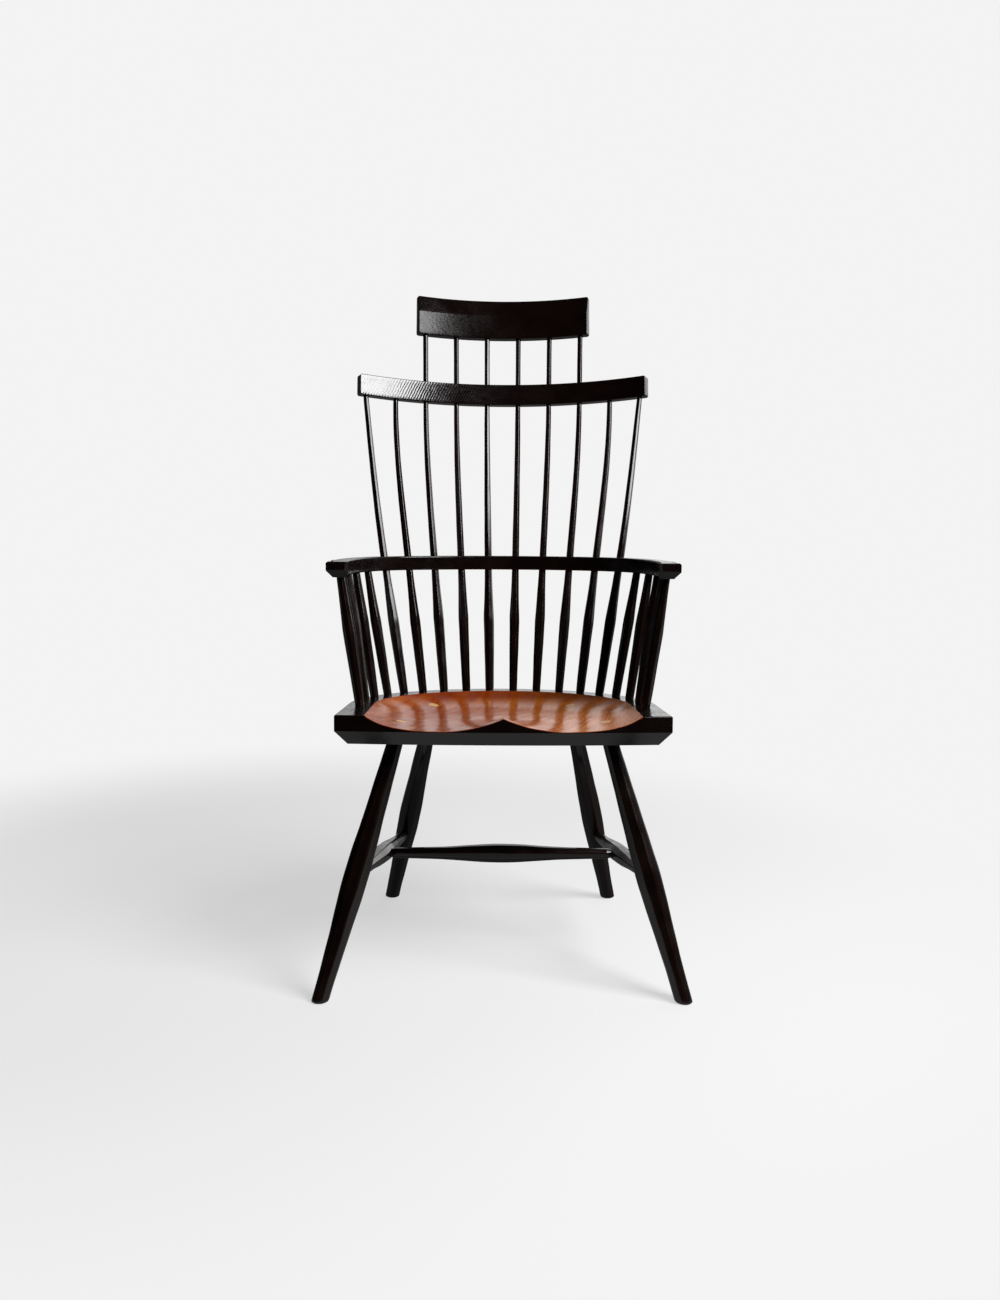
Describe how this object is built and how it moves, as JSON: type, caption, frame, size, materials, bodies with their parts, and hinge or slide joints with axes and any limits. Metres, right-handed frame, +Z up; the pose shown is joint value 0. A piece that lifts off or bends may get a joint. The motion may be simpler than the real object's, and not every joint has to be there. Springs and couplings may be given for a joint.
{
  "type": "comb-back windsor armchair",
  "caption": "Wooden armchair with a scooped plank seat, splayed wedged legs, a bent arm rail on tapered spindles, a tall spindle back with a curved crest and a smaller comb above.",
  "frame": {"origin": "on the floor, under the middle of the chair's bounding box", "axes": "the chair faces -Y, +X is to the sitter's left, +Z is up"},
  "size_m": [0.593, 0.6166, 1.1526],
  "materials": {
    "black_paint": "hand-shaved wood under thin black paint, rubbed to a soft sheen",
    "oiled_seat_wood": "oiled reddish-brown wood in the scoop, black paint on the rest of the plank",
    "pale_wood": "pale oiled hardwood end grain"
  },
  "bodies": {
    "root": {"arm_rail": "black_paint", "crest_lower": "black_paint", "crest_upper": "black_paint", "hand_left": "black_paint", "hand_right": "black_paint", "leg_front_left": "black_paint", "leg_front_right": "black_paint", "leg_rear_left": "black_paint", "leg_rear_right": "black_paint", "peg_left": "black_paint", "peg_right": "black_paint", "seat": "oiled_seat_wood", "spindle_long_left_1": "black_paint", "spindle_long_left_2": "black_paint", "spindle_long_left_3": "black_paint", "spindle_long_left_4": "black_paint", "spindle_long_left_5": "black_paint", "spindle_long_right_1": "black_paint", "spindle_long_right_2": "black_paint", "spindle_long_right_3": "black_paint", "spindle_long_right_4": "black_paint", "spindle_long_right_5": "black_paint", "spindle_short_left_1": "black_paint", "spindle_short_left_2": "black_paint", "spindle_short_left_3": "black_paint", "spindle_short_left_4": "black_paint", "spindle_short_left_5": "black_paint", "spindle_short_right_1": "black_paint", "spindle_short_right_2": "black_paint", "spindle_short_right_3": "black_paint", "spindle_short_right_4": "black_paint", "spindle_short_right_5": "black_paint", "stretcher_left": "black_paint", "stretcher_middle": "black_paint", "stretcher_right": "black_paint", "wedge_front_left": "pale_wood", "wedge_front_right": "pale_wood", "wedge_rear_left": "pale_wood", "wedge_rear_right": "pale_wood"}
  },
  "joints": []
}
